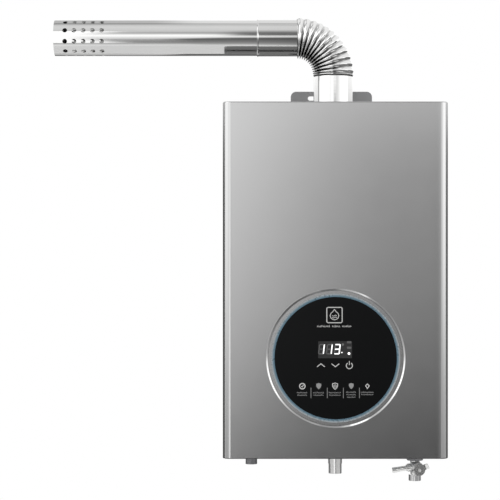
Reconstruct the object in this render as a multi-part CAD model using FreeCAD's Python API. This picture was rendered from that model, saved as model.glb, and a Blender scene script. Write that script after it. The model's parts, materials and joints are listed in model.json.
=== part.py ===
"""Wall-hung tankless gas water heater with its exhaust duct, built as separate pieces, in millimetres.

The frame: the wall is the plane Y = 0, the front faces -Y, Z is up, and X = 0, Z = 0 is the case's centre.
"""

import FreeCAD
import Part
import math
import os
from FreeCAD import Placement, Rotation, Vector

# Case
CASE_W = 354.0
CASE_H = 560.0
CASE_D = 140.0
SHEET = 1.0
CORNER_R = 12.0
FOLD_R = 1.6
COVER_BACK = -9.0
CHASSIS_SHEET = 1.2
CHASSIS_GAP = 0.4
CHASSIS_FLANGE = 26.0

# Hanging tab above the case
TAB_W = 134.0
TAB_RISE = 28.4
TAB_R = 9.0
SLOT_XS = (-30.8, 26.4)
SLOT_RISE = 17.2
SLOT_LENGTH = 16.0
SLOT_H = 7.0

# Control panel
PANEL_Z = -122.0
PANEL_HOLE_R = 100.0
BEZEL_R = 109.1
BEZEL_INNER_R = 100.9
LIGHT_RING_R = 100.7
GLASS_R = 95.6
GLASS_T = 3.0
HOUSING_R = 98.8
HOUSING_DEPTH = 26.0

# Exhaust duct
FLUE_Y = -62.0
COLLAR_R = 31.0
COLLAR_WALL = 0.7
CUFF_R = 31.75
BEND_R = 58.7
BEND_Z = 330.2
RIBS = 12
ROOT_R = 28.9
CREST_R = 32.5
BELLOWS_WALL = 0.6
SLEEVE_R = 29.2
SLEEVE_LENGTH = 64.2
PIPE_R = 28.5
CRIMP_R = 28.15
PIPE_WALL = 0.5
PIPE_END_X = -448.5
PIPE_INSERT = 46.0
VENT_COLUMNS = 5
VENT_PITCH = 14.7
VENT_FIRST = 18.4
VENT_ROWS = 10
VENT_R = 3.8
VENT_PHASE = -17.0

# Water and gas fittings under the case
FITTING_Y = -62.0
HOT_X = -132.0
GAS_X = 3.0
COLD_X = 131.5
HOT_THREAD_R = 9.3
THREAD_R = 10.48
SHOULDER = 0.3
WATER_R = 6.0
WATER_WALL = 1.0

# Relief valve under the cold inlet
VALVE_C = Vector(132.5, -64.0, -301.5)
BONNET_AXIS = Vector(0.26, -0.94, -0.21)
BONNET_SIDE = Vector(0.906, 0.0, 0.423)
BONNET_R = 10.2
SPOUT_AXIS = Vector(-0.987, 0.0, -0.162)
TAIL_R = 7.0
SUPPLY_R = 8.33

# Heat exchanger, burner and fan
CHAMBER_X = 110.0
CHAMBER_Y0 = -96.0
CHAMBER_Y1 = -10.0
CHAMBER_Z0 = -60.0
CHAMBER_Z1 = 122.0
HOOD_Z1 = 150.0
TUBE_YS = [-21.0, -37.0, -53.0, -69.0, -85.0]
TUBE_Z = 90.0
FINS = 27
FIN_PITCH = 7.6
BURNERS = 10
BURNER_PITCH = 20.0
FAN_X = -23.0
FAN_Z = 208.0
VOLUTE_R = 52.0
IMPELLER_R = 37.0
SHAFT_R = 2.98

CASE_TOP = CASE_H / 2
CASE_BOTTOM = -CASE_H / 2
FRONT = -CASE_D
FRAME_X = CASE_W / 2 - SHEET - CHASSIS_GAP
FRAME_Z = CASE_H / 2 - SHEET - CHASSIS_GAP
FLOOR_Z = -(FRAME_Z - CHASSIS_SHEET)
PIPE_Z = BEND_Z + BEND_R

X_AXIS = Vector(1, 0, 0)
Y_AXIS = Vector(0, 1, 0)
Z_AXIS = Vector(0, 0, 1)


# ---------------------------------------------------------------- shape helpers
def box(x0, x1, y0, y1, z0, z1):
    return Part.makeBox(x1 - x0, y1 - y0, z1 - z0, Vector(x0, y0, z0))


def rod(start, axis, radius, length):
    return Part.makeCylinder(radius, length, start, axis)


def tube(start, axis, outer, inner, length):
    return rod(start, axis, outer, length).cut(rod(start, axis, inner, length))


def turned(profile, base=Vector(0, 0, 0), axis=Z_AXIS):
    """A closed (radius, height) outline turned once round an axis through base."""
    points = [Vector(r, 0, h) for r, h in profile]
    face = Part.Face(Part.makePolygon(points + points[:1]))
    solid = face.revolve(Vector(0, 0, 0), Z_AXIS, 360)
    solid.Placement = Placement(base, Rotation(Z_AXIS, axis))
    return Part.Solid(solid) if solid.ShapeType == "Shell" else solid


def prism(points, direction):
    """A closed polygon pushed along a direction."""
    return Part.Face(Part.makePolygon(points + points[:1])).extrude(direction)


def hexagon(centre, across_flats, height, hole, turn=0):
    """A hexagon nut's blank with chamfered corners and a plain hole; turn swings its corners from X."""
    corner = across_flats / math.sqrt(3)
    points = [
        centre + Vector(corner * math.cos(a), corner * math.sin(a), 0)
        for a in (math.radians(60 * k + turn) for k in range(6))
    ]
    blank = prism(points, Z_AXIS * height)
    rise = (corner - across_flats / 2) * 0.5
    outline = [
        (hole, 0), (across_flats / 2, 0), (corner, rise), (corner, height - rise), (across_flats / 2, height),
        (hole, height),
    ]
    return blank.common(turned(outline, centre))


def fused(shapes):
    first, rest = shapes[0], shapes[1:]
    return first.fuse(rest).removeSplitter() if rest else first


def placed(shape, base, axis, side):
    """A shape drawn on local X, Y, Z, set at base with Z along axis and X nearest to side."""
    z = Vector(axis).normalize()
    x = (side - z * side.dot(z)).normalize()
    move = Placement(base, Rotation(x, z.cross(x), z, "ZXY"))
    shape.Placement = move.multiply(shape.Placement)
    return shape


def rounded_route(points, radius):
    """Straight runs joined by tangent arcs of one radius."""
    edges, last = [], points[0]
    for before, corner, after in zip(points, points[1:], points[2:]):
        back = (before - corner).normalize()
        ahead = (after - corner).normalize()
        half = back.getAngle(ahead) / 2
        reach = radius / math.tan(half)
        start, end = corner + back * reach, corner + ahead * reach
        middle_way = (back + ahead).normalize()
        middle = corner + middle_way * (radius / math.sin(half) - radius)
        edges.append(Part.LineSegment(last, start).toShape())
        edges.append(Part.Arc(start, middle, end).toShape())
        last = end
    edges.append(Part.LineSegment(last, points[-1]).toShape())
    return Part.Wire(edges)


def swept(points, bend, radius):
    route = rounded_route(points, bend)
    section = Part.Wire(Part.makeCircle(radius, points[0], points[1] - points[0]))
    return route.makePipeShell([section], True, True)


def swept_tube(points, bend, outer, wall):
    return swept(points, bend, outer).cut(swept(points, bend, outer - wall))


def coil_spring(radius, wire_r, pitch, turns, steps=12):
    """A coil along Z: round wire laid in short straight runs, with its ends left open."""
    rings = []
    for k in range(int(turns * steps) + 1):
        a = 2 * math.pi * k / steps
        at = Vector(radius * math.cos(a), radius * math.sin(a), pitch * k / steps)
        along = Vector(-math.sin(a) * radius, math.cos(a) * radius, pitch / (2 * math.pi))
        rings.append(placed(Part.Wire(Part.makeCircle(wire_r)), at, along, Z_AXIS))
    return Part.makeLoft(rings, True, True)


def screw(seat, axis, shank, length, head=3.6, head_h=2.2):
    """A pan-head screw: axis runs from the seat into the work, and the head stands behind it."""
    body = rod(seat, axis, shank, length).fuse(rod(seat - axis * head_h, axis, head, head_h))
    cross = [
        placed(Part.makeBox(w, d, 1.2, Vector(-w / 2, -d / 2, 0)), seat - axis * head_h, axis, side)
        for w, d in ((head * 1.2, 0.9), (0.9, head * 1.2))
        for side in (X_AXIS if abs(axis.x) < 0.9 else Y_AXIS,)
    ]
    return body.cut(cross)


def save(name, shapes):
    solids = shapes if isinstance(shapes, list) else [shapes]
    parts = [s for shape in solids for s in shape.Solids]
    for part in parts:
        if not part.isValid():
            print("not valid:", name)
        if part.Volume <= 0:
            print("no volume:", name)
    shape = parts[0] if len(parts) == 1 else Part.makeCompound(parts)
    shape.exportStep("parts/" + name + ".step")
    MADE[name] = parts


# ---------------------------------------------------------------- case
def plan_block(half_w, y_front, y_back, corner, z0, z1):
    """A block whose two front vertical edges are rounded."""
    inner_x, inner_y = half_w - corner, y_front + corner
    slant = corner * math.sqrt(0.5)
    right = Part.Arc(
        Vector(inner_x, y_front, z0),
        Vector(inner_x + slant, inner_y - slant, z0),
        Vector(half_w, inner_y, z0),
    )
    left = Part.Arc(
        Vector(-half_w, inner_y, z0),
        Vector(-inner_x - slant, inner_y - slant, z0),
        Vector(-inner_x, y_front, z0),
    )
    outline = Part.Wire([
        Part.makeLine(Vector(-inner_x, y_front, z0), Vector(inner_x, y_front, z0)),
        right.toShape(),
        Part.makeLine(Vector(half_w, inner_y, z0), Vector(half_w, y_back, z0)),
        Part.makeLine(Vector(half_w, y_back, z0), Vector(-half_w, y_back, z0)),
        Part.makeLine(Vector(-half_w, y_back, z0), Vector(-half_w, inner_y, z0)),
        left.toShape(),
    ])
    return Part.Face(outline).extrude(Vector(0, 0, z1 - z0))


COVER_SCREW_Y = -18.0
COVER_SCREW_X = 120.0
RIM_SCREW_X = 162.0
NOTCH_R = 36.0
MOUTH_X = 150.0
MOUTH_FRONT = -112.0


def cover_screw_places():
    """Where the four screws that hold the cover stand: (x, z, way in)."""
    top = [(x, CASE_TOP, -1) for x in (-COVER_SCREW_X, COVER_SCREW_X)]
    bottom = [(x, CASE_BOTTOM, 1) for x in (-RIM_SCREW_X, RIM_SCREW_X)]
    return top + bottom


def front_cover():
    shell = plan_block(CASE_W / 2, FRONT, COVER_BACK, CORNER_R, CASE_BOTTOM, CASE_TOP)
    folds = [
        e for e in shell.Edges
        if abs(abs(e.CenterOfMass.z) - CASE_H / 2) < 1e-6 and e.CenterOfMass.y < COVER_BACK - 1
    ]
    shell = shell.makeFillet(FOLD_R, folds)
    inside = plan_block(
        CASE_W / 2 - SHEET, FRONT + SHEET, 0, CORNER_R - SHEET, CASE_BOTTOM + SHEET, CASE_TOP - SHEET
    )
    slots = []
    for x, z, way in cover_screw_places():
        low = z - 3
        slots.append(rod(Vector(x, COVER_SCREW_Y, low), Z_AXIS, 2.3, 6))
        slots.append(box(x - 2.3, x + 2.3, COVER_SCREW_Y, 0, low, low + 6))
    cuts = [
        inside,
        rod(Vector(0, FRONT - 1, PANEL_Z), Y_AXIS, PANEL_HOLE_R, 3),
        rod(Vector(0, FLUE_Y, CASE_TOP - 3), Z_AXIS, NOTCH_R, 6),
        box(-NOTCH_R, NOTCH_R, FLUE_Y, 0, CASE_TOP - 3, CASE_TOP + 3),
        box(-MOUTH_X, MOUTH_X, MOUTH_FRONT, 0, CASE_BOTTOM - 3, CASE_BOTTOM + 3),
    ]
    return shell.cut(cuts + slots)


def slot_hole(x, z, length, height):
    """A round-ended slot through the back plate."""
    reach = (length - height) / 2
    start = Vector(0, -10, z)
    ends = [rod(start + X_AXIS * (x + s * reach), Y_AXIS, height / 2, 20) for s in (-1, 1)]
    return fused([box(x - reach, x + reach, -10, 10, z - height / 2, z + height / 2)] + ends)


def back_plate():
    t = CHASSIS_SHEET
    pan = box(-FRAME_X, FRAME_X, -CHASSIS_FLANGE, 0, -FRAME_Z, FRAME_Z)
    pan = pan.cut(box(-FRAME_X + t, FRAME_X - t, -CHASSIS_FLANGE - 1, -t, -FRAME_Z + t, FRAME_Z - t))
    relief = TAB_W / 2 + 3
    pan = pan.cut(box(-relief, relief, -CHASSIS_FLANGE - 1, -t, FRAME_Z - t - 1, FRAME_Z + 1))
    tab_top = CASE_TOP + TAB_RISE
    tab = box(-TAB_W / 2, TAB_W / 2, -t, 0, FRAME_Z - 10, tab_top)
    corners = [
        e for e in tab.Edges
        if abs(e.CenterOfMass.z - tab_top) < 1e-6 and abs(abs(e.CenterOfMass.x) - TAB_W / 2) < 1e-6
    ]
    tab = tab.makeFillet(TAB_R, corners)
    plate = fused([pan, tab])
    # Two pressed stiffening ribs stand inwards, so the wall side stays flat.
    rib_depth, rib_w, rib_z = 2.5, 14.0, 200.0
    for x in (-145, 145):
        plate = plate.fuse(box(x - rib_w / 2, x + rib_w / 2, -t - rib_depth, -t, -rib_z, rib_z))
        plate = plate.cut(box(x - rib_w / 2 + t, x + rib_w / 2 - t, -rib_depth, 1, -rib_z + t, rib_z - t))
    slot_z = CASE_TOP + SLOT_RISE
    cuts = [slot_hole(x, slot_z, SLOT_LENGTH, SLOT_H) for x in SLOT_XS]
    hole_r = 2.06
    for x, z, way in cover_screw_places():
        cuts.append(rod(Vector(x, COVER_SCREW_Y, z - 8), Z_AXIS, hole_r, 16))
    for x in FLOOR_SCREW_X:
        cuts.append(rod(Vector(x, COVER_SCREW_Y, -FRAME_Z - 5), Z_AXIS, hole_r, 10))
    return plate.cut(cuts).removeSplitter()


FLOOR_SCREW_X = (-90.0, -40.0, 40.0, 90.0)
PLATE_FRONT = -116.0


def bottom_plate():
    t = CHASSIS_SHEET
    half = FRAME_X - t - 0.5
    plate = box(-half, half, PLATE_FRONT, -t - 0.1, FLOOR_Z, FLOOR_Z + t)
    lip = box(-half, half, PLATE_FRONT, PLATE_FRONT + t, FLOOR_Z, FLOOR_Z + 12)
    plate = fused([plate, lip])
    through = FLOOR_Z - 5
    holes = [(HOT_X, HOT_THREAD_R), (GAS_X, THREAD_R), (COLD_X, THREAD_R)]
    cuts = [rod(Vector(x, FITTING_Y, through), Z_AXIS, r + SHOULDER + 0.15, 12) for x, r in holes]
    cuts.append(rod(Vector(*GROMMET_AT, through), Z_AXIS, GROMMET_R, 12))
    for x in FLOOR_SCREW_X:
        cuts.append(rod(Vector(x, COVER_SCREW_Y, through), Z_AXIS, 2.06, 12))
    for x, z, way in cover_screw_places():
        cuts.append(rod(Vector(x, COVER_SCREW_Y, through), Z_AXIS, 2.06, 12))
    # Slots that let the air for the burner in.
    for row in range(4):
        y = -104 + row * 9
        for x in (-100, -52, 52, 100):
            cuts.append(box(x - 17, x + 17, y - 2, y + 2, through, through + 12))
            cuts += [rod(Vector(x + s, y, through), Z_AXIS, 2, 12) for s in (-17, 17)]
    return plate.cut(cuts)


def case_screws():
    cover = [
        screw(Vector(x, COVER_SCREW_Y, z), Vector(0, 0, way), 2.0, 9.0) for x, z, way in cover_screw_places()
    ]
    seat_z = -FRAME_Z
    floor = [screw(Vector(x, COVER_SCREW_Y, seat_z), Z_AXIS, 2.0, 6.0) for x in FLOOR_SCREW_X]
    return cover + floor


GROMMET_AT = (72.0, -52.0)
GROMMET_R = 6.5


def cord_grommet():
    """A rubber grommet that lines the supply lead's way through the bottom plate."""
    z0, z1 = FLOOR_Z, FLOOR_Z + CHASSIS_SHEET
    outline = [
        (3.6, z0 - 5), (6.5, z0 - 5), (9.0, z0 - 2.5), (9.0, z0 - 0.02), (GROMMET_R - 0.02, z0 - 0.02),
        (GROMMET_R - 0.02, z1 + 0.02), (9.0, z1 + 0.02), (8.0, z1 + 3), (3.6, z1 + 3),
    ]
    return turned(outline, Vector(*GROMMET_AT, 0))


# ---------------------------------------------------------------- control panel
def panel_bezel():
    """A turned ring: a lip that slopes inwards to a groove, a nearly flat land, and a sleeve through the cover."""
    y = CASE_D
    outline = [
        (PANEL_HOLE_R - 0.9, y - 6), (PANEL_HOLE_R - 0.1, y - 6), (PANEL_HOLE_R - 0.1, y), (BEZEL_R, y),
        (BEZEL_R, y + 2.3), (BEZEL_R - 0.15, y + 2.4), (BEZEL_R - 2.6, y + 1.4), (BEZEL_R - 2.8, y + 0.6),
        (BEZEL_R - 3.1, y + 0.6), (BEZEL_R - 3.3, y + 1.3), (BEZEL_INNER_R, y + 1.3),
        (BEZEL_INNER_R, y + 0.4), (PANEL_HOLE_R - 0.9, y + 0.4),
    ]
    return turned(outline, Vector(0, 0, PANEL_Z), -Y_AXIS)


def light_ring():
    y = CASE_D
    outline = [
        (GLASS_R + 0.2, y - 3.0), (PANEL_HOLE_R - 1.1, y - 3.0), (PANEL_HOLE_R - 1.1, y + 0.7),
        (LIGHT_RING_R, y + 0.7), (LIGHT_RING_R, y + 1.1), (GLASS_R + 0.2, y + 1.0),
    ]
    return turned(outline, Vector(0, 0, PANEL_Z), -Y_AXIS)


def glass_panel():
    y = CASE_D
    outline = [(0, y - 1.4), (GLASS_R, y - 1.4), (GLASS_R, y + 1.2), (GLASS_R - 0.4, y + 1.6), (0, y + 1.6)]
    return turned(outline, Vector(0, 0, PANEL_Z), -Y_AXIS)


def panel_housing():
    y = CASE_D
    deep = y - HOUSING_DEPTH
    cup = turned(
        [
            (0, deep), (HOUSING_R - 4, deep), (HOUSING_R, deep + 4), (HOUSING_R, y - 3.1),
            (GLASS_R - 6, y - 3.1), (GLASS_R - 6, y - 5), (HOUSING_R - 2, y - 5), (HOUSING_R - 2, deep + 5),
            (HOUSING_R - 5, deep + 2), (0, deep + 2),
        ],
        Vector(0, 0, PANEL_Z),
        -Y_AXIS,
    )
    posts = [
        rod(Vector(x, -deep - 2, PANEL_Z + z), -Y_AXIS, 4, POST_LENGTH)
        for x, z in BOARD_POSTS
    ]
    return fused([cup] + posts)


BOARD_POSTS = [(-62, -40), (62, -40), (-62, 40), (62, 40)]
BOARD_R = 84.0
BOARD_FACE = 131.0
BOARD_T = 1.6
POST_LENGTH = BOARD_FACE - BOARD_T - (CASE_D - HOUSING_DEPTH) - 2


def touch_board():
    """The round circuit board behind the glass, with its small parts and the plug for its lead."""
    start = Vector(0, -(BOARD_FACE - BOARD_T), PANEL_Z)
    board = rod(start, -Y_AXIS, BOARD_R, BOARD_T)
    back = -(BOARD_FACE - BOARD_T)
    chips = [
        box(-20, -6, back, back + 2, PANEL_Z - 30, PANEL_Z - 16),
        box(10, 22, back, back + 6, PANEL_Z - 52, PANEL_Z - 42),
        box(-44, -38, back, back + 3, PANEL_Z + 10, PANEL_Z + 30),
    ]
    return fused([board] + chips)


def display_module():
    """The numeric display block: it fills the gap between the board and the glass."""
    return box(-27, 28, -138.5, -BOARD_FACE, PANEL_Z + 2, PANEL_Z + 34)


TOUCH_X = (-21.5, 0.5, 22.5)
TOUCH_Z = PANEL_Z - 8.5


def touch_springs():
    """The three contact springs that carry the touch signal from the glass to the board."""
    springs = []
    for x in TOUCH_X:
        spring = coil_spring(4.0, 0.4, 1.7, 3.5)
        springs.append(placed(spring, Vector(x, -BOARD_FACE - 0.8, TOUCH_Z), -Y_AXIS, X_AXIS))
    return springs


# ---------------------------------------------------------------- exhaust duct
def flue_collar():
    """The spigot that the duct pushes onto, with its square base plate."""
    low = FRAME_Z - CHASSIS_SHEET
    base = box(-46, 46, -106, -3, low, FRAME_Z)
    spigot = rod(Vector(0, FLUE_Y, 263), Z_AXIS, COLLAR_R, 50)
    inside = rod(Vector(0, FLUE_Y, 262), Z_AXIS, COLLAR_R - COLLAR_WALL, 60)
    return fused([base, spigot]).cut(inside)


def collar_gasket():
    return tube(Vector(0, FLUE_Y, FRAME_Z), Z_AXIS, NOTCH_R - 0.4, COLLAR_R + 0.02, 2.0)


def duct_cuff():
    """The plain lower end of the elbow, which turns on the collar."""
    low = FRAME_Z + 2.4
    inner = COLLAR_R + 0.08
    outline = [
        (inner, low), (CUFF_R, low), (CUFF_R, BEND_Z), (ROOT_R - BELLOWS_WALL, BEND_Z),
        (ROOT_R - BELLOWS_WALL, BEND_Z - 0.7), (inner, BEND_Z - 1.6),
    ]
    return turned(outline, Vector(0, FLUE_Y, 0))


def bend_point(angle):
    a = math.radians(angle)
    return Vector(-BEND_R + BEND_R * math.cos(a), FLUE_Y, BEND_Z + BEND_R * math.sin(a))


def bend_circle(angle, radius):
    a = math.radians(angle)
    along = Vector(-math.sin(a), 0, math.cos(a))
    circle = Part.Wire(Part.makeCircle(radius))
    return placed(circle, bend_point(angle), along, Y_AXIS)


def bellows_core(inset):
    """The bellows' filled outline, drawn inwards by inset: cones laid end to end round the bend."""
    step = 90.0 / (2 * RIBS)
    radii = [(CREST_R if k % 2 else ROOT_R) - inset for k in range(2 * RIBS + 1)]
    cones = [
        Part.makeLoft([bend_circle(k * step, radii[k]), bend_circle((k + 1) * step, radii[k + 1])], True, True)
        for k in range(2 * RIBS)
    ]
    return cones[0].fuse(cones[1:])


def corrugated_bend():
    """Folded thin metal: ridges and roots in turn round a quarter circle, open at both ends."""
    return bellows_core(0).cut(bellows_core(BELLOWS_WALL))


def duct_sleeve():
    """The plain upper end of the elbow, which the straight pipe slides into."""
    start = Vector(-BEND_R, FLUE_Y, PIPE_Z)
    inner = CRIMP_R + 0.07
    outline = [
        (inner, 0), (SLEEVE_R, 0), (SLEEVE_R, SLEEVE_LENGTH - 2.5), (SLEEVE_R + 0.5, SLEEVE_LENGTH - 1.7),
        (SLEEVE_R + 0.5, SLEEVE_LENGTH - 0.8), (SLEEVE_R, SLEEVE_LENGTH), (inner, SLEEVE_LENGTH),
    ]
    return turned(outline, start, -X_AXIS)


def straight_pipe():
    """The exhaust pipe: its inner end is drawn in to fit the sleeve, up to a shoulder at the sleeve's mouth."""
    inner_end = -BEND_R - SLEEVE_LENGTH + PIPE_INSERT
    shoulder = PIPE_INSERT + 0.1
    far = inner_end - PIPE_END_X
    pipe = turned(
        [(CRIMP_R - PIPE_WALL, 0), (CRIMP_R, 0), (CRIMP_R, shoulder), (PIPE_R, shoulder), (PIPE_R, far),
         (PIPE_R - PIPE_WALL, far), (PIPE_R - PIPE_WALL, shoulder + 1.2), (CRIMP_R - PIPE_WALL, shoulder + 0.6)],
        Vector(inner_end, FLUE_Y, PIPE_Z), -X_AXIS,
    )
    drills = []
    for column in range(VENT_COLUMNS):
        x = PIPE_END_X + VENT_FIRST + column * VENT_PITCH
        for row in range(VENT_ROWS // 2):
            a = math.radians(VENT_PHASE + row * 360.0 / VENT_ROWS)
            way = Vector(0, -math.cos(a), math.sin(a))
            drills.append(rod(Vector(x, FLUE_Y, PIPE_Z) - way * 40, way, VENT_R, 80))
    return pipe.cut(drills)


def pipe_end_cap():
    """A pressed cap that closes the free end of the pipe."""
    r = PIPE_R - PIPE_WALL - 0.03
    outline = [
        (0, 1.6), (r - 3, 1.6), (r - 1, 0.8), (r - 1, 0), (r, 0), (r, 10), (r - 0.6, 10), (r - 0.6, 1.6),
        (r - 3, 2.3), (0, 2.3),
    ]
    return turned(outline, Vector(PIPE_END_X, FLUE_Y, PIPE_Z), X_AXIS)


# ---------------------------------------------------------------- fan and hood
HOOD_DUCT = (-78.0, 32.0, -30.0, CHAMBER_Y1, HOOD_Z1, 262.0)


def flue_hood():
    """Gathers the burnt gas above the exchanger and leads it up behind the fan's eye."""
    t = 1.0
    x0, x1, y0, y1, z0, z1 = HOOD_DUCT
    low = box(-CHAMBER_X, CHAMBER_X, CHAMBER_Y0, CHAMBER_Y1, CHAMBER_Z1, HOOD_Z1)
    hollow = [
        box(-CHAMBER_X + t, CHAMBER_X - t, CHAMBER_Y0 + t, CHAMBER_Y1 - t, CHAMBER_Z1 - 1, HOOD_Z1 - t),
        box(x0 + t, x1 - t, y0 + t, y1 - t, z0 - 5, z1 - t),
        rod(Vector(FAN_X, y0 - 1, FAN_Z), Y_AXIS, 26, 3),
    ]
    return fused([low, box(*HOOD_DUCT)]).cut(hollow)


FAN_Y0 = -92.0
FAN_Y1 = -30.3
FAN_WALL = 1.2


def fan_housing():
    """The scroll round the impeller, with its outlet up into the collar."""
    t = FAN_WALL
    width = FAN_Y1 - FAN_Y0
    centre = Vector(FAN_X, FAN_Y0, FAN_Z)
    reach = FAN_X + VOLUTE_R
    outer = fused([
        rod(centre, Y_AXIS, VOLUTE_R, width),
        box(-reach, reach, FAN_Y0, FAN_Y1, FAN_Z, 262.9),
    ])
    inner = fused([
        rod(centre + Y_AXIS * t, Y_AXIS, VOLUTE_R - t, width - 2 * t),
        box(-reach + t, reach - t, FAN_Y0 + t, FAN_Y1 - t, FAN_Z, 262.9 - t),
    ])
    eye = rod(Vector(FAN_X, FAN_Y1 - 3, FAN_Z), Y_AXIS, 26, 6)
    shaft_way = rod(centre - Y_AXIS, Y_AXIS, 5, 4)
    outlet = rod(Vector(0, FLUE_Y, 255), Z_AXIS, 27, 20)
    return outer.cut([inner, eye, shaft_way, outlet])


def fan_motor():
    """The fan's motor on the front of the scroll, with its mounting feet and end bell."""
    start = Vector(FAN_X, FAN_Y0, FAN_Z)
    bore = SHAFT_R + 0.06
    return turned(
        [(bore, 0), (30, 0), (30, 1.5), (24, 1.5), (24, 26), (20, 30), (8, 30), (8, 33), (bore, 33)],
        start,
        -Y_AXIS,
    )


def fan_impeller():
    """A squirrel-cage wheel on the motor side's disc."""
    y0, y1 = -84.0, -40.0
    centre = Vector(FAN_X, y0, FAN_Z)
    pieces = [
        tube(centre, Y_AXIS, IMPELLER_R, 3.0, 1.5),
        tube(centre, Y_AXIS, 8, 3.0, 14),
        tube(Vector(FAN_X, y1 - 2, FAN_Z), Y_AXIS, IMPELLER_R, IMPELLER_R - 8, 2),
    ]
    blades = 24
    for k in range(blades):
        blade = Part.makeBox(9.0, y1 - y0 - 0.5, 0.9, Vector(IMPELLER_R - 9.6, 0, -0.45))
        blade.rotate(Vector(IMPELLER_R - 5, 0, 0), Y_AXIS, 28)
        blade.rotate(Vector(0, 0, 0), Y_AXIS, k * 360.0 / blades)
        blade.translate(centre)
        pieces.append(blade)
    return fused(pieces)


def fan_shaft():
    return rod(Vector(FAN_X, -126, FAN_Z), Y_AXIS, SHAFT_R, 58)


# ---------------------------------------------------------------- exchanger and burner
def combustion_chamber():
    t = 1.0
    shell = box(-CHAMBER_X, CHAMBER_X, CHAMBER_Y0, CHAMBER_Y1, CHAMBER_Z0, CHAMBER_Z1)
    inside = box(
        -CHAMBER_X + t, CHAMBER_X - t, CHAMBER_Y0 + t, CHAMBER_Y1 - t, CHAMBER_Z0 - 1, CHAMBER_Z1 + 1
    )
    holes = [rod(Vector(-130, y, TUBE_Z), X_AXIS, WATER_R + 0.05, 260) for y in TUBE_YS]
    sight = [rod(Vector(130, y, PROBE_Z), -X_AXIS, 3.3, 40) for y in PROBE_YS]
    return shell.cut([inside] + holes + sight)


def exchanger_fins():
    fin = box(-0.4, 0.4, CHAMBER_Y0 + 2, CHAMBER_Y1 - 2, TUBE_Z - 24, TUBE_Z + 26)
    fin = fin.cut([rod(Vector(-5, y, TUBE_Z), X_AXIS, WATER_R + 0.03, 10) for y in TUBE_YS])
    made = []
    for k in range(FINS):
        copy = fin.copy()
        copy.translate(X_AXIS * ((k - (FINS - 1) / 2) * FIN_PITCH))
        made.append(copy)
    return made


def exchanger_tube():
    """One tube that runs five times through the fins."""
    reach = CHAMBER_X + 4
    turn = (TUBE_YS[0] - TUBE_YS[1]) / 2
    edges = []
    for k, y in enumerate(TUBE_YS):
        way = -1 if k % 2 == 0 else 1
        start, end = Vector(-way * reach, y, TUBE_Z), Vector(way * reach, y, TUBE_Z)
        edges.append(Part.LineSegment(start, end).toShape())
        if k + 1 < len(TUBE_YS):
            middle = Vector(way * (reach + turn), y - turn, TUBE_Z)
            edges.append(Part.Arc(end, middle, Vector(way * reach, y - 2 * turn, TUBE_Z)).toShape())
    route = Part.Wire(edges)
    start = Vector(reach, TUBE_YS[0], TUBE_Z)
    solids = [
        route.makePipeShell([Part.Wire(Part.makeCircle(r, start, -X_AXIS))], True, True)
        for r in (WATER_R, WATER_R - WATER_WALL)
    ]
    return solids[0].cut(solids[1])


PROBE_YS = (-84.0, -38.0)
PROBE_Z = -48.0


def electrodes():
    """The spark electrode and the flame probe: a ceramic body and a bent wire each."""
    outline = [(0, 0), (3.0, 0), (3.0, 12), (4.8, 12), (4.8, 15.9), (3.0, 15.9), (3.0, 34), (0, 34)]
    made = []
    for y in PROBE_YS:
        made.append(turned(outline, Vector(126, y, PROBE_Z), -X_AXIS))
        made.append(swept([Vector(92, y, PROBE_Z), Vector(70, y, PROBE_Z), Vector(66, y, PROBE_Z - 12)], 4, 0.9))
    return made


def electrode_leads():
    """The insulated leads from the igniter up to the electrode and the probe."""
    made = []
    for y in PROBE_YS:
        route = [
            Vector(126, y, PROBE_Z), Vector(152, y, PROBE_Z), Vector(152, y, -165), Vector(84, y, -165),
            Vector(84, y, IGNITER_TOP),
        ]
        made.append(swept(route, 14, 2.2))
    return made


IGNITER_TOP = -205.0


def igniter_module():
    body = box(62, 106, -98, -26, -250, IGNITER_TOP)
    edges = [e for e in body.Edges if abs(e.tangentAt(0).z) > 0.9]
    body = body.makeFillet(3, edges)
    ears = [box(66, 102, -34, -2.0, -249, -246)]
    return fused([body] + ears)


def burner_frame():
    t = 1.0
    x, y0, y1, z0, z1 = 108.0, -94.0, -12.0, -130.0, CHAMBER_Z0
    shell = box(-x, x, y0, y1, z0, z1)
    inside = box(-x + t, x - t, y0 + t, y1 - t, z0 - 1, z1 + 1)
    holes = [rod(Vector(bx, y0 - 1, NOZZLE_Z), Y_AXIS, 4.0, 4) for bx in burner_xs()]
    rail_z = -124.0
    rails = [box(-x + 0.5, x - 0.5, y, y + 6, rail_z, rail_z + 1.5) for y in (y0 + 4, y1 - 10)]
    return fused([shell.cut([inside] + holes)] + rails)


NOZZLE_Z = -104.0


def burner_xs():
    return [(k - (BURNERS - 1) / 2) * BURNER_PITCH for k in range(BURNERS)]


def burner_bars():
    """Flat stainless burner bars, each with a flared mouth and a slotted flame ridge."""
    made = []
    for x in burner_xs():
        bar = box(x - 5, x + 5, -89, -17, -122, -78)
        ridge = box(x - 7, x + 7, -89, -17, -78, -66)
        slits = [box(x - 5, x + 5, y, y + 1.4, -72, -60) for y in range(-84, -20, 6)]
        mouth = rod(Vector(x, -90, NOZZLE_Z), Y_AXIS, 3.8, 24)
        made.append(fused([bar, ridge]).cut(slits + [mouth]))
    return made


def gas_nozzles():
    return [
        turned([(0.8, 0), (4.2, 0), (4.2, 4), (3.0, 4), (3.0, 8), (1.8, 9.4), (0.8, 9.4)],
               Vector(x, -100, NOZZLE_Z), Y_AXIS)
        for x in burner_xs()
    ]


MANIFOLD_Y = (-111.0, -100.0)


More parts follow.
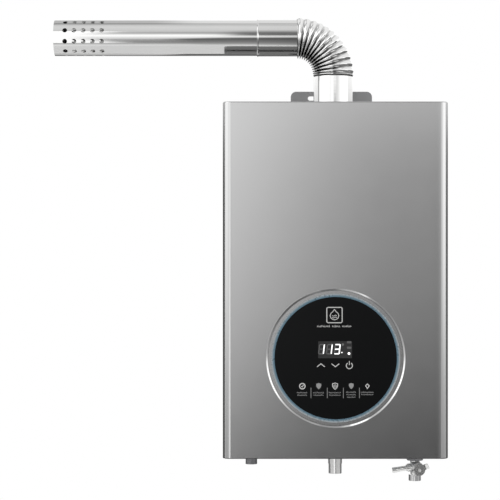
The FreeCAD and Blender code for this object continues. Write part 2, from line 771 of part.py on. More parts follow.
def gas_manifold():
    y0, y1 = MANIFOLD_Y
    bar = box(-102, 102, y0, y1, -114, -94)
    hollow = box(-99, 99, y0 + 2.5, y1 - 2.5, -111, -97)
    ways = [rod(Vector(x, -104, NOZZLE_Z), Y_AXIS, 2.0, 6) for x in burner_xs()]
    feed = rod(Vector(GAS_X, (y0 + y1) / 2, -116), Z_AXIS, 4.0, 8)
    return bar.cut([hollow, feed] + ways)


def gas_feed_pipe():
    middle = sum(MANIFOLD_Y) / 2
    route = [
        Vector(GAS_X, FITTING_Y, VALVE_TOP), Vector(GAS_X, FITTING_Y, -150), Vector(GAS_X, middle, -150),
        Vector(GAS_X, middle, -114),
    ]
    return swept_tube(route, 10, 5.2, 1.0)


VALVE_TOP = -190.0
VALVE_LOW = -262.0
COIL_ZS = (-245.0, -211.0)
PLUNGER_R = 4.0
GAS_WAY_R = 3.6


def gas_valve_body():
    """The cast valve block, with a straight gas way and a seat for each plunger."""
    body = box(GAS_X - 24, GAS_X + 24, -84, -42, VALVE_LOW, VALVE_TOP)
    uprights = [e for e in body.Edges if abs(e.tangentAt(0).z) > 0.9]
    body = body.makeFillet(4, uprights)
    way = rod(Vector(GAS_X, FITTING_Y, VALVE_LOW - 1), Z_AXIS, GAS_WAY_R, 80)
    seats = [rod(Vector(GAS_X - 30, FITTING_Y, z), X_AXIS, PLUNGER_R + 0.1, 36) for z in COIL_ZS]
    boss = rod(Vector(GAS_X + 24, FITTING_Y, -226), X_AXIS, 15, 5)
    return fused([body, boss]).cut([way] + seats)


def gas_solenoids():
    """Two shut-off coils on the left of the block and the proportional coil on its right."""
    made = []
    for z in COIL_ZS:
        coil = tube(Vector(GAS_X - 24, FITTING_Y, z), -X_AXIS, 13, PLUNGER_R + 0.1, 26)
        cap = rod(Vector(GAS_X - 50, FITTING_Y, z), -X_AXIS, 9, 5)
        made.append(fused([coil, cap]))
    made.append(turned([(0, 0), (17, 0), (17, 20), (14, 24), (0, 24)],
                       Vector(GAS_X + 29, FITTING_Y, -226), X_AXIS))
    return made


def gas_plungers():
    """The two plungers, shown shut: each one bars the gas way."""
    return [rod(Vector(GAS_X - 43, FITTING_Y, z), X_AXIS, PLUNGER_R, 47) for z in COIL_ZS]


# ---------------------------------------------------------------- water way
def socket_fitting(x, radius, z_end):
    """A turned fitting: a collar inside the case with a socket, and a thread that passes out below."""
    top = FLOOR_Z + CHASSIS_SHEET
    free = FLOOR_Z - 5.4
    outline = [
        (4.6, z_end), (radius, z_end), (radius, free), (radius + SHOULDER, free), (radius + SHOULDER, top),
        (14.0, top), (14.0, top + 12),
        (WATER_R + 0.06, top + 12), (WATER_R + 0.06, top + 6), (4.6, top + 6),
    ]
    return turned(outline, Vector(x, FITTING_Y, 0))


def hot_outlet_fitting():
    return socket_fitting(HOT_X, HOT_THREAD_R, HOT_END)


def cold_inlet_fitting():
    return socket_fitting(COLD_X, THREAD_R, COLD_END)


SOCKET_TOP = FLOOR_Z + CHASSIS_SHEET + 12
HOT_END = -297.4
COLD_END = -285.0
GAS_END = -312.4


def gas_inlet_fitting():
    """The gas spigot: it screws into the valve block above and carries a tapered thread below."""
    nut_low = FLOOR_Z - 5.4
    shoulder_low = -296.6
    outline = [
        (5.0, GAS_END), (THREAD_R, GAS_END), (THREAD_R, shoulder_low), (11.2, shoulder_low),
        (11.2, nut_low), (THREAD_R, nut_low),
        (THREAD_R, VALVE_LOW), (5.0, VALVE_LOW),
    ]
    return turned(outline, Vector(GAS_X, FITTING_Y, 0))


def fitting_nuts():
    """The hexagon nuts that clamp the three fittings to the bottom plate."""
    low = FLOOR_Z - 5.2
    sizes = [(HOT_X, 24, HOT_THREAD_R + SHOULDER), (GAS_X, 26, THREAD_R), (COLD_X, 26, THREAD_R + SHOULDER)]
    return [hexagon(Vector(x, FITTING_Y, low), across, 5, r + 0.04) for x, across, r in sizes]


SENSOR_LOW = -256.0
SENSOR_TOP = -208.0


def flow_sensor_body():
    """The turbine's chamber, with the fixed axle that the turbine runs on."""
    outline = [
        (4.5, SOCKET_TOP - 5.5), (WATER_R, SOCKET_TOP - 5.5), (WATER_R, SENSOR_LOW), (15, SENSOR_LOW),
        (15, SENSOR_TOP), (WATER_R + 0.06, SENSOR_TOP), (WATER_R + 0.06, SENSOR_TOP - 8),
        (4.5, SENSOR_TOP - 8), (4.5, SENSOR_TOP - 14), (10.5, SENSOR_TOP - 14), (10.5, SENSOR_LOW + 6),
        (4.5, SENSOR_LOW + 6),
    ]
    base = Vector(COLD_X, FITTING_Y, 0)
    body = turned(outline, base)
    axle = rod(base + Z_AXIS * (SENSOR_LOW + 3), Z_AXIS, 1.0, 33)
    bars = [
        box(COLD_X - 5, COLD_X + 5, FITTING_Y - 0.8, FITTING_Y + 0.8, z, z + 2)
        for z in (SENSOR_LOW + 3, SENSOR_TOP - 13)
    ]
    return fused([body, axle] + bars)


def flow_turbine():
    base = Vector(COLD_X, FITTING_Y, -243)
    hub = tube(base, Z_AXIS, 3.4, 1.05, 16)
    pieces = [hub]
    for k in range(6):
        blade = Part.makeBox(7.0, 1.2, 15.0, Vector(2.9, -0.6, -7.5))
        blade.rotate(Vector(0, 0, 0), X_AXIS, 24)
        blade.rotate(Vector(0, 0, 0), Z_AXIS, 60 * k)
        blade.translate(base + Z_AXIS * 8)
        pieces.append(blade)
    return fused(pieces)


def cold_pipe():
    route = [
        Vector(COLD_X, FITTING_Y, SENSOR_TOP - 7.5), Vector(COLD_X, FITTING_Y, 50),
        Vector(COLD_X, TUBE_YS[0], 50), Vector(COLD_X, TUBE_YS[0], TUBE_Z),
        Vector(CHAMBER_X + 4, TUBE_YS[0], TUBE_Z),
    ]
    return swept_tube(route, 9, WATER_R, WATER_WALL)


def hot_pipe():
    route = [
        Vector(HOT_X, FITTING_Y, SOCKET_TOP - 5.5), Vector(HOT_X, FITTING_Y, 50),
        Vector(HOT_X, TUBE_YS[-1], 50), Vector(HOT_X, TUBE_YS[-1], TUBE_Z),
        Vector(-CHAMBER_X - 4, TUBE_YS[-1], TUBE_Z),
    ]
    return swept_tube(route, 9, WATER_R, WATER_WALL)


def water_sensors():
    """The thermistor with its spring clip on the hot pipe, and the pickup that counts the turbine's turns."""
    clip = tube(Vector(HOT_X, FITTING_Y, -120), Z_AXIS, WATER_R + 1.2, WATER_R + 0.05, 10)
    bead = box(HOT_X - 3, HOT_X + 3, FITTING_Y - 13, FITTING_Y - 6.4, -119, -111)
    bead = bead.cut(rod(Vector(HOT_X, FITTING_Y, -121), Z_AXIS, WATER_R + 0.3, 12))
    front = FITTING_Y - 15.1
    pickup = box(COLD_X - 7, COLD_X + 7, front - 9, front, -244, -222)
    return [fused([clip, bead]), pickup]


def overheat_thermostat():
    """The disc thermostat on the chamber's left wall."""
    start = Vector(-CHAMBER_X, -53, 30)
    flange = box(-CHAMBER_X - 1, -CHAMBER_X, -65, -41, 24, 36)
    disc = rod(start - X_AXIS, -X_AXIS, 7.5, 6)
    pins = [box(-CHAMBER_X - 13, -CHAMBER_X - 7, -56 + k * 6 - 0.4, -56 + k * 6 + 0.4, 27, 33) for k in (0, 1)]
    return fused([flange, disc] + pins)


# ---------------------------------------------------------------- electronics
CONTROL_BOX = (-114.0, -62.0, -106.0, -22.0, -256.0, -150.0)


def control_box():
    """An open plastic tray on feet, which the main board sits in."""
    x0, x1, y0, y1, z0, z1 = CONTROL_BOX
    t = 2.0
    tray = box(*CONTROL_BOX).cut(box(x0 + t, x1 - t, y0 - 1, y1 - t, z0 + t, z1 - t))
    feet = [box(x0 + 4, x1 - 4, y1, -1.3, z, z + 6) for z in (z0 + 8, z1 - 14)]
    return fused([tray] + feet)


def main_board():
    """The main circuit board: relays, a transformer, capacitors and a row of plugs."""
    x0, x1, y0, y1, z0, z1 = CONTROL_BOX
    face = -34.0
    board = box(x0 + 3, x1 - 3, face, face + 1.6, z0 + 4, z1 - 4)
    parts = [
        box(x0 + 8, x0 + 34, face - 24, face, z0 + 10, z0 + 36),
        box(x0 + 8, x0 + 20, face - 16, face, z0 + 42, z0 + 58),
        box(x0 + 24, x0 + 36, face - 16, face, z0 + 42, z0 + 58),
        rod(Vector(x1 - 10, face, z0 + 20), -Y_AXIS, 6, 22),
        rod(Vector(x1 - 9, face, z0 + 70), -Y_AXIS, 4, 14),
        box(x0 + 8, x0 + 22, face - 2.5, face, z0 + 66, z0 + 80),
    ]
    parts += [box(x0 + 7 + 10 * k, x0 + 15 + 10 * k, face - 9, face, z1 - 16, z1 - 8) for k in range(4)]
    return fused([board] + parts)


# ---------------------------------------------------------------- relief valve
def on_bonnet(shape):
    """Sets a shape drawn on the bonnet's own axes: Z out along it, X to its right, Y up."""
    return placed(shape, VALVE_C, BONNET_AXIS, BONNET_SIDE)


TAIL_FLANGE_Z = (-288.2, -286.6)
CAVITY = (3.0, 10.6)
SWIVEL_Z = (-318.2, -316.6)
NUT_Z = (-324.2, -314.2)


def relief_valve_body():
    """The cast tee: tail up to the union, swivel tail down, bonnet seat forward, spout seat to the left."""
    base = Vector(COLD_X, FITTING_Y, 0)
    stem = turned(
        [(0, SWIVEL_Z[0]), (8.0, SWIVEL_Z[0]), (8.0, SWIVEL_Z[1]), (TAIL_R, SWIVEL_Z[1]), (TAIL_R, -296),
         (7.6, -294), (7.6, TAIL_FLANGE_Z[0]), (10.2, TAIL_FLANGE_Z[0]), (10.2, TAIL_FLANGE_Z[1]),
         (0, TAIL_FLANGE_Z[1])],
        base,
    )
    ball = Part.makeSphere(10.4, VALVE_C)
    seat = on_bonnet(Part.makeCylinder(BONNET_R - 0.6, CAVITY[1]))
    spout_axis = Vector(SPOUT_AXIS).normalize()
    spout_seat = rod(VALVE_C, spout_axis, 6.4, 13.0)
    water = rod(Vector(COLD_X, FITTING_Y, -330), Z_AXIS, 5.0, 60)
    cavity = on_bonnet(Part.makeCylinder(7.2, 20, Vector(0, 0, CAVITY[0])))
    throat = on_bonnet(Part.makeCylinder(3.2, 8, Vector(0, 0, -2)))
    drain = rod(VALVE_C, spout_axis, 2.6, 20)
    return fused([stem, ball, seat, spout_seat]).cut([water, cavity, throat, drain])


def discharge_spout():
    """The outlet that the relief hose pushes onto, with a soft flare and shallow barbs."""
    outline = [
        (2.6, 0), (5.4, 0), (5.4, 1.6), (3.8, 2.4), (3.8, 7.5), (4.1, 8.5), (3.9, 12.5), (4.2, 13.5),
        (4.0, 17.5), (4.3, 18.5), (4.3, 24.0), (4.0, 24.6), (2.6, 24.6),
    ]
    axis = Vector(SPOUT_AXIS).normalize()
    return turned(outline, VALVE_C + axis * 13.0, axis)


def valve_union_nut():
    low = -291.5
    nut = hexagon(Vector(COLD_X, FITTING_Y, low), 25, 8.6, 7.8, 30)
    seat = rod(Vector(COLD_X, FITTING_Y, TAIL_FLANGE_Z[0] - 0.1), Z_AXIS, THREAD_R + 0.06, 10)
    return nut.cut(seat)


def valve_washer():
    return tube(Vector(COLD_X, FITTING_Y, TAIL_FLANGE_Z[1]), Z_AXIS, 10.2, 5.2, COLD_END - TAIL_FLANGE_Z[1])


def supply_nut():
    """The swivel nut that the supply hose screws to; it turns freely on the valve's tail, whose flange it holds."""
    low, top = NUT_Z
    recess_low = SWIVEL_Z[0] - 0.4
    nut = hexagon(Vector(COLD_X, FITTING_Y, low), 19.6, top - low, TAIL_R + 0.06, 30)
    thread = rod(Vector(COLD_X, FITTING_Y, low - 1), Z_AXIS, SUPPLY_R, recess_low - low + 1)
    recess = rod(Vector(COLD_X, FITTING_Y, recess_low), Z_AXIS, SUPPLY_R + 0.3, SWIVEL_Z[1] + 0.2 - recess_low)
    return nut.cut([thread, recess])


HINGE_U = -10.4
HINGE_A = 18.2
EAR_V = (2.8, 4.4)


def relief_bonnet():
    """The cap that holds the relief spring down, with a grooved rim and two ears for the lever's pin."""
    cap = turned([(2.3, CAVITY[1]), (BONNET_R, CAVITY[1]), (BONNET_R, 15.2), (BONNET_R - 0.8, 16), (2.3, 16)])
    grooves = []
    for k in range(20):
        a = math.radians(18 * k)
        way = Vector((BONNET_R + 0.3) * math.cos(a), (BONNET_R + 0.3) * math.sin(a), CAVITY[1] - 0.5)
        grooves.append(Part.makeCylinder(0.7, 6, way))
    cap = cap.cut(grooves)
    low = 11.4
    ears = [
        Part.makeBox(4.0, EAR_V[1] - EAR_V[0], HINGE_A + 2 - low, Vector(HINGE_U - 2, v, low))
        for v in (EAR_V[0], -EAR_V[1])
    ]
    hole = Part.makeCylinder(1.04, 20, Vector(HINGE_U, -10, HINGE_A), Y_AXIS)
    return on_bonnet(fused([cap] + ears).cut(hole))


def lever_pin():
    return on_bonnet(Part.makeCylinder(1.0, 9.6, Vector(HINGE_U, -4.8, HINGE_A), Y_AXIS))


LEVER_A = 17.2
LEVER_T = 1.5


def relief_lever():
    """The test lever: a round plate under the stem's head, a knuckle on the pin and a finger tab."""
    plate = Part.makeCylinder(BONNET_R - 0.4, LEVER_T, Vector(0, 0, LEVER_A))
    gap = 0.25
    width = EAR_V[1] - EAR_V[0] + 2 * gap
    for v in (EAR_V[0] - gap, -EAR_V[1] - gap):
        plate = plate.cut(Part.makeBox(8, width, 6, Vector(HINGE_U - 5.0, v, LEVER_A - 2)))
    half = EAR_V[0] - gap
    knuckle = Part.makeCylinder(2.0, 2 * half, Vector(HINGE_U, -half, HINGE_A), Y_AXIS)
    reach = Part.makeBox(5.0, 9.0, LEVER_T, Vector(7.0, -4.5, LEVER_A))
    tip = Part.makeBox(5.0, 9.0, LEVER_T)
    tip.translate(Vector(0, -4.5, 0))
    tip.rotate(Vector(0, 0, 0), Y_AXIS, -34)
    tip.translate(Vector(11.7, 0, LEVER_A))
    hole = Part.makeCylinder(1.05, 8, Vector(HINGE_U, -4, HINGE_A), Y_AXIS)
    stem_way = Part.makeBox(4.4, 3.1, 6, Vector(-2.2, -1.55, LEVER_A - 2))
    return on_bonnet(fused([plate, knuckle, reach, tip]).cut([hole, stem_way]))


def relief_stem():
    """The stem with the disc that shuts the throat, and the head that the lever lifts it by."""
    return on_bonnet(turned([
        (0, 3.1), (5.6, 3.1), (5.6, 5.0), (2.1, 5.0), (2.1, 16.4), (1.3, 16.4), (1.3, 19.3), (2.4, 19.6),
        (2.4, 20.2), (1.8, 20.8), (0, 20.8),
    ]))


def relief_spring():
    spring = coil_spring(3.9, 0.28, 1.64, 3)
    spring.translate(Vector(0, 0, 5.35))
    return on_bonnet(spring)


MADE = {}


def main():
    os.makedirs("parts", exist_ok=True)
    pieces = [
        back_plate, bottom_plate, case_screws, cord_grommet, front_cover, panel_bezel, light_ring,
        glass_panel, panel_housing, touch_board, display_module, touch_springs, flue_collar,
        collar_gasket, duct_cuff, corrugated_bend, duct_sleeve, straight_pipe, pipe_end_cap, flue_hood,
        fan_housing, fan_motor, fan_impeller, fan_shaft, combustion_chamber, exchanger_fins,
        exchanger_tube, electrodes, electrode_leads, igniter_module, burner_frame, burner_bars,
        gas_nozzles, gas_manifold, gas_feed_pipe, gas_valve_body, gas_solenoids, gas_plungers,
        gas_inlet_fitting, hot_outlet_fitting, cold_inlet_fitting, fitting_nuts, flow_sensor_body,
        flow_turbine, cold_pipe, hot_pipe, water_sensors, overheat_thermostat, control_box, main_board,
        relief_valve_body, discharge_spout, valve_union_nut, valve_washer, supply_nut, relief_bonnet,
        lever_pin, relief_lever, relief_stem, relief_spring,
    ]
    for piece in pieces:
        save(piece.__name__, piece())


main()
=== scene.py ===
"""The looks of a wall-hung tankless gas water heater with its stainless exhaust duct."""

import json
import math

import bpy
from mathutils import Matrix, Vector


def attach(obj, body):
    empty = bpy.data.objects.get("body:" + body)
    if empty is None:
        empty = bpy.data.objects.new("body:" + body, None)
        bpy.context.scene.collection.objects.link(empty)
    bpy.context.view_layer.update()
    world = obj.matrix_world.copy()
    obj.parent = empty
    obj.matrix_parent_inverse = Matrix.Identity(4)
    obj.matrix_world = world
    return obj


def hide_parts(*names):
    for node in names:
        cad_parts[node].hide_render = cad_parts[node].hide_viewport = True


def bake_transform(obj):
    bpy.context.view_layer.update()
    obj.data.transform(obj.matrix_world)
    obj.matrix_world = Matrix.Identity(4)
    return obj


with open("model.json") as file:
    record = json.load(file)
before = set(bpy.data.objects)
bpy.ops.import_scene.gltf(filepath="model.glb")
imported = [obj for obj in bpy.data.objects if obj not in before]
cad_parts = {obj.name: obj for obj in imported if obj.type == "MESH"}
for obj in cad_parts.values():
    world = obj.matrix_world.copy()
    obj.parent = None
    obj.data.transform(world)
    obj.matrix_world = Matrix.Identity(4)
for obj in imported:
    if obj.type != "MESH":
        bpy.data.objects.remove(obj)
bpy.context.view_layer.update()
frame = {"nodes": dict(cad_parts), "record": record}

MM = 0.001
scene = bpy.context.scene
NODES = frame["nodes"]


# ---------------------------------------------------------------- camera and light
def look_straight(at, lens):
    """A camera that looks level along y."""
    data = bpy.data.cameras.new("camera")
    data.lens = lens
    data.sensor_width = 36.0
    data.clip_end = 60
    camera = bpy.data.objects.new("camera", data)
    camera.location = at
    camera.rotation_euler = (math.radians(90), 0, 0)
    scene.collection.objects.link(camera)
    scene.camera = camera


CAMERA_AT = (-0.1342, -2.740, 0.0473)
CAMERA_LENS = 119.55
look_straight(CAMERA_AT, CAMERA_LENS)
scene.view_settings.view_transform = "Standard"


class Graph:
    """Small helper that adds nodes to a node tree and links them."""

    def __init__(self, tree, fresh=True):
        self.tree = tree
        if fresh:
            tree.nodes.clear()

    def add(self, kind, inputs=None, **settings):
        node = self.tree.nodes.new(kind)
        for key, value in settings.items():
            setattr(node, key, value)
        for key, value in (inputs or {}).items():
            if isinstance(value, bpy.types.NodeSocket):
                self.tree.links.new(value, node.inputs[key])
            else:
                node.inputs[key].default_value = value
        return node

    def math(self, operation, a, b=0.0):
        return self.add("ShaderNodeMath", {0: a, 1: b}, operation=operation).outputs[0]

    def times(self, product, *others):
        for other in others:
            product = self.math("MULTIPLY", product, other)
        return product

    def plus(self, a, b):
        return self.math("ADD", a, b)

    def less(self, a, b):
        return self.math("SUBTRACT", a, b)

    def mix(self, part, a, b):
        """a where part is 0 and b where it is 1."""
        return self.add("ShaderNodeMix", {"Factor": part, "A": a, "B": b}, data_type="FLOAT").outputs[0]

    def dot(self, a, b):
        return self.add("ShaderNodeVectorMath", {0: a, 1: b}, operation="DOT_PRODUCT").outputs[1]

    def ramp(self, value, stops):
        """stops are (position, grey or colour)."""
        node = self.add("ShaderNodeValToRGB", {0: value})
        elements = node.color_ramp.elements
        while len(elements) < len(stops):
            elements.new(0.5)
        for element, (position, shade) in zip(elements, stops):
            element.position = position
            colour = (shade, shade, shade) if isinstance(shade, (int, float)) else shade
            element.color = (*colour, 1)
        return node.outputs[0]

    def between(self, value, low, high, to_low=0.0, to_high=1.0, smooth=True):
        """to_low up to low, to_high from high on, and a smooth or an even change between them."""
        node = self.add(
            "ShaderNodeMapRange",
            {"Value": value, "From Min": low, "From Max": high, "To Min": to_low, "To Max": to_high},
            interpolation_type="SMOOTHSTEP" if smooth else "LINEAR",
        )
        return node.outputs[0]


# Brightness of the studio at each height, in degrees above or below level. ROOM is the room in general;
# GAP is the narrow dark gap straight in front of the object. BRIGHTEST brings both into a ramp's range.
ROOM = [
    (-90, 0.75), (-75, 0.88), (-60, 1.00), (-52, 0.95), (-45, 0.66), (-38, 0.40), (-32, 0.31), (-25, 0.36),
    (-19, 0.44), (-12, 0.60), (-6, 0.84), (0, 1.10), (7, 1.38), (14, 1.36), (20, 0.78), (27, 0.50),
    (34, 0.70), (48, 0.84), (71, 0.90), (90, 0.70),
]
GAP = [
    (-90, 0.75), (-75, 0.88), (-60, 1.00), (-52, 0.84), (-45, 0.49), (-38, 0.36), (-32, 0.28), (-25, 0.22),
    (-19, 0.20), (-12, 0.13), (-7, 0.16), (-5, 0.38), (-2, 0.72), (2, 0.88), (4.6, 1.04), (5.3, 1.16),
    (6, 1.6), (8, 0.60), (13, 0.20), (27, 0.20), (34, 0.40), (48, 0.84), (71, 0.90), (90, 0.70),
]
BRIGHTEST = 2.2
WINDOW = 1.5  # the tall window just left of the gap
LAMP = 1.1  # the soft lamp high on the left
LAMP_WAY = (-0.62, -0.45, 0.64)
DRAPE_WAY = (0.62, -0.30, -0.72)  # a dark drape low on the right


def profile(g, up, levels):
    """The brightness at each height, where up is 0 straight down and 1 straight up."""
    return g.ramp(up, [((h + 90) / 180, v / BRIGHTEST) for h, v in levels])


def room_level(g, azimuth, height, up):
    """The room in general: brighter at its sides, duller right of the gap, with a window left of it."""
    aside = g.math("ABSOLUTE", azimuth)
    sides = g.times(g.between(aside, 14, 50), g.between(aside, 70, 96, 1.0, 0.0),
                    g.between(height, 14, 20, 1.0, 0.0), g.between(height, -6, 0, -0.35, 0.25))
    room = g.times(profile(g, up, ROOM), g.plus(sides, 1.0))
    right = g.times(g.between(azimuth, 16, 62, 0.74, 1.1), g.between(height, -7, -2, 0.85, 1.0))
    room = g.times(room, g.mix(g.between(azimuth, 12, 16), 1.0, right))
    window = g.times(g.between(azimuth, -20, -14), g.between(azimuth, -6.5, -4.2, 1.0, 0.0),
                     g.between(height, -44, -34), g.between(height, 36, 44, 1.0, 0.0))
    return g.math("MAXIMUM", room, g.times(window, WINDOW / BRIGHTEST))


def gap_level(g, azimuth, height, up):
    """The gap, which darkens to the right, far more below 5 degrees than above."""
    low_end = g.between(height, 5.0, 5.6, 0.44, 0.95)
    drop = g.times(g.between(azimuth, -0.5, 4.5), g.less(1.0, low_end))
    return g.times(profile(g, up, GAP), g.less(1.0, drop))


def in_gap(g, azimuth, height):
    """1 inside the gap, whose left edge leans, and 0 outside it."""
    leaning = g.less(azimuth, g.between(height, -3, 3, 0.0, 0.7))
    leaning = g.plus(leaning, g.between(height, -8, -5, 1.3, 0.0))
    return g.times(g.between(leaning, -2.0, -0.8), g.between(azimuth, 12.5, 16.0, 1.0, 0.0))


def back_level(g, x, y, height):
    """Behind the object: a pale wall, dark low down, with a brighter belt, a darker post and a dark frame."""
    edge = g.times(g.between(y, 0.03, 0.09), g.between(y, 0.19, 0.26, 1.0, 0.0),
                   g.between(x, -0.2, 0.3, 1.0, 0.0))
    raised = g.times(g.between(x, -0.06, -0.02, 0.0, 40.0), g.between(x, 0.10, 0.18, 1.0, 0.0))
    low = g.times(g.between(height, 3.6, 4.8, 1.0, 0.0), g.between(g.plus(height, raised), -34, -24))
    belt = g.times(g.between(height, 4.8, 6.0), g.between(height, 12, 20, 1.0, 0.0))
    post = g.times(g.between(x, -0.26, -0.20), g.between(x, -0.06, -0.03, 1.0, 0.0))
    wall = g.plus(0.95, g.less(g.times(belt, 0.35), g.times(low, 0.78)))
    wall = g.times(wall, g.less(1.0, g.times(post, 0.35)), g.less(1.0, g.times(edge, 0.6)))
    return g.math("DIVIDE", wall, BRIGHTEST)


def studio_world():
    """White to the camera; to everything else a bright room with a dark gap in front of the object."""
    world = bpy.data.worlds.new("studio")
    scene.world = world
    world.use_nodes = True
    g = Graph(world.node_tree)
    way = g.add("ShaderNodeTexCoord").outputs["Generated"]
    x, y, z = g.add("ShaderNodeSeparateXYZ", {0: way}).outputs
    degrees = 180 / math.pi
    azimuth = g.times(g.math("ARCTAN2", x, g.times(y, -1.0)), degrees)
    height = g.times(g.math("ARCSINE", z), degrees)
    up = g.between(height, -90, 90, smooth=False)
    room = room_level(g, azimuth, height, up)
    front = g.mix(in_gap(g, azimuth, height), room, gap_level(g, azimuth, height, up))
    level = g.mix(g.between(y, 0.0, 0.10), front, back_level(g, x, y, height))
    lamp = g.times(g.between(g.dot(way, LAMP_WAY), 0.84, 0.95), LAMP / BRIGHTEST)
    drape = g.between(g.dot(way, DRAPE_WAY), 0.80, 0.93, 1.0, 0.25)
    level = g.times(g.plus(level, lamp), drape)
    studio = g.add("ShaderNodeBackground", {"Color": (1, 1, 1, 1), "Strength": g.times(level, BRIGHTEST)})
    white = g.add("ShaderNodeBackground", {"Color": (1, 1, 1, 1), "Strength": 1.0})
    seen = g.add("ShaderNodeLightPath").outputs["Is Camera Ray"]
    both = g.add("ShaderNodeMixShader", {0: seen, 1: studio.outputs[0], 2: white.outputs[0]})
    g.add("ShaderNodeOutputWorld", {"Surface": both.outputs[0]})


studio_world()


# ---------------------------------------------------------------- materials
CURVE_BAND = (0.152, 0.166)  # metres right of the middle, where the cover's sheet starts to curve
BROAD = 0.05  # how coarse the broad noise is beside the fine one


def painted_edge_shade(g, value):
    """Paints shade on the cover's sheet: darker on its top and bottom hems, and a painted dark reflection
    where its sides curve.
    """
    facing = g.add("ShaderNodeNewGeometry").outputs["Normal"]
    across, _, upward = g.add("ShaderNodeSeparateXYZ", {0: facing}).outputs
    side = g.math("ABSOLUTE", across)
    bend = g.times(g.between(side, 0.8, 0.94), g.between(side, 0.985, 0.999, 1.0, 0.0))
    return g.times(value, g.between(upward, 0.6, 0.85, 1.0, 0.4), g.between(upward, -0.5, -0.1, 0.04, 1.0),
                   g.less(1.0, g.times(bend, 0.45)))


def edge_curve(g, place):
    """The normal of the cover's sheet, which leans a little before its rounded right edge."""
    along = g.add("ShaderNodeSeparateXYZ", {0: place}).outputs[0]
    lean = g.add("ShaderNodeCombineXYZ", {0: g.between(along, *CURVE_BAND, 0.0, 0.06)}).outputs[0]
    facing = g.add("ShaderNodeNewGeometry").outputs["Normal"]
    leant = g.add("ShaderNodeVectorMath", {0: facing, 1: lean}, operation="ADD").outputs[0]
    return g.add("ShaderNodeVectorMath", {0: leant}, operation="NORMALIZE").outputs[0]


def painted_fold_shade(g, colour):
    """Painted shade: darkens the elbow's steel deep between its ridges."""
    valley_shade_weight = g.add("ShaderNodeAttribute", attribute_name="valley_shade_weight").outputs["Fac"]
    shade = g.ramp(valley_shade_weight, [(0.0, 1.0), (0.34, 0.95), (0.62, 0.35), (0.85, 0.03)])
    fold_shaded = g.add("ShaderNodeMix", {"Factor": 1.0, "A": colour, "B": shade}, data_type="RGBA",
                   blend_type="MULTIPLY")
    return fold_shaded.outputs[2]


def material(name, colour, metallic=0.0, roughness=0.5, tint=0.06, rough_play=0.06, grain=200.0, bump=0.02,
             stretch=(1, 1, 1), specular=0.5, coat=0.0, emission=0.0, paint_edge_shade=False, paint_fold_shade=False):
    """A surface whose colour, roughness and height vary with two sizes of noise.

    The edge flag paints shade on the cover's sheet, and the fold flag paints shade between the elbow's
    ridges.
    """
    made = bpy.data.materials.new(name)
    made.use_nodes = True
    g = Graph(made.node_tree)
    place = g.add("ShaderNodeTexCoord").outputs["Object"]
    stretched = g.add("ShaderNodeMapping", {"Vector": place, "Scale": stretch}).outputs[0]
    fine = g.add("ShaderNodeTexNoise", {"Vector": stretched, "Scale": grain, "Detail": 4.0}).outputs[0]
    broad = g.add("ShaderNodeTexNoise", {"Vector": place, "Scale": grain * BROAD, "Detail": 2.0}).outputs[0]
    noise = g.plus(g.times(fine, 0.6), g.times(broad, 0.4))
    value = g.between(noise, 0.3, 0.7, 1 - tint, 1 + tint, smooth=False)
    rough = g.between(noise, 0.3, 0.7, roughness - rough_play, roughness + rough_play, smooth=False)
    height = {"Strength": bump, "Distance": MM, "Height": fine}
    # Painted shade on the cover's top and bottom hems and curved sides.
    if paint_edge_shade:
        value = painted_edge_shade(g, value)
        height["Normal"] = edge_curve(g, place)
    lump = g.add("ShaderNodeBump", height)
    shown = g.add("ShaderNodeHueSaturation", {"Value": value, "Color": (*colour, 1)}).outputs[0]
    # Painted shade between the elbow's ridges.
    if paint_fold_shade:
        shown = painted_fold_shade(g, shown)
    shader = g.add("ShaderNodeBsdfPrincipled", {
        "Base Color": shown, "Metallic": metallic, "Roughness": rough, "Normal": lump.outputs[0],
        "Specular IOR Level": specular, "Coat Weight": coat,
    })
    if emission:
        shader.inputs["Emission Color"].default_value = (*colour, 1)
        shader.inputs["Emission Strength"].default_value = emission
    g.add("ShaderNodeOutputMaterial", {"Surface": shader.outputs[0]})
    return made


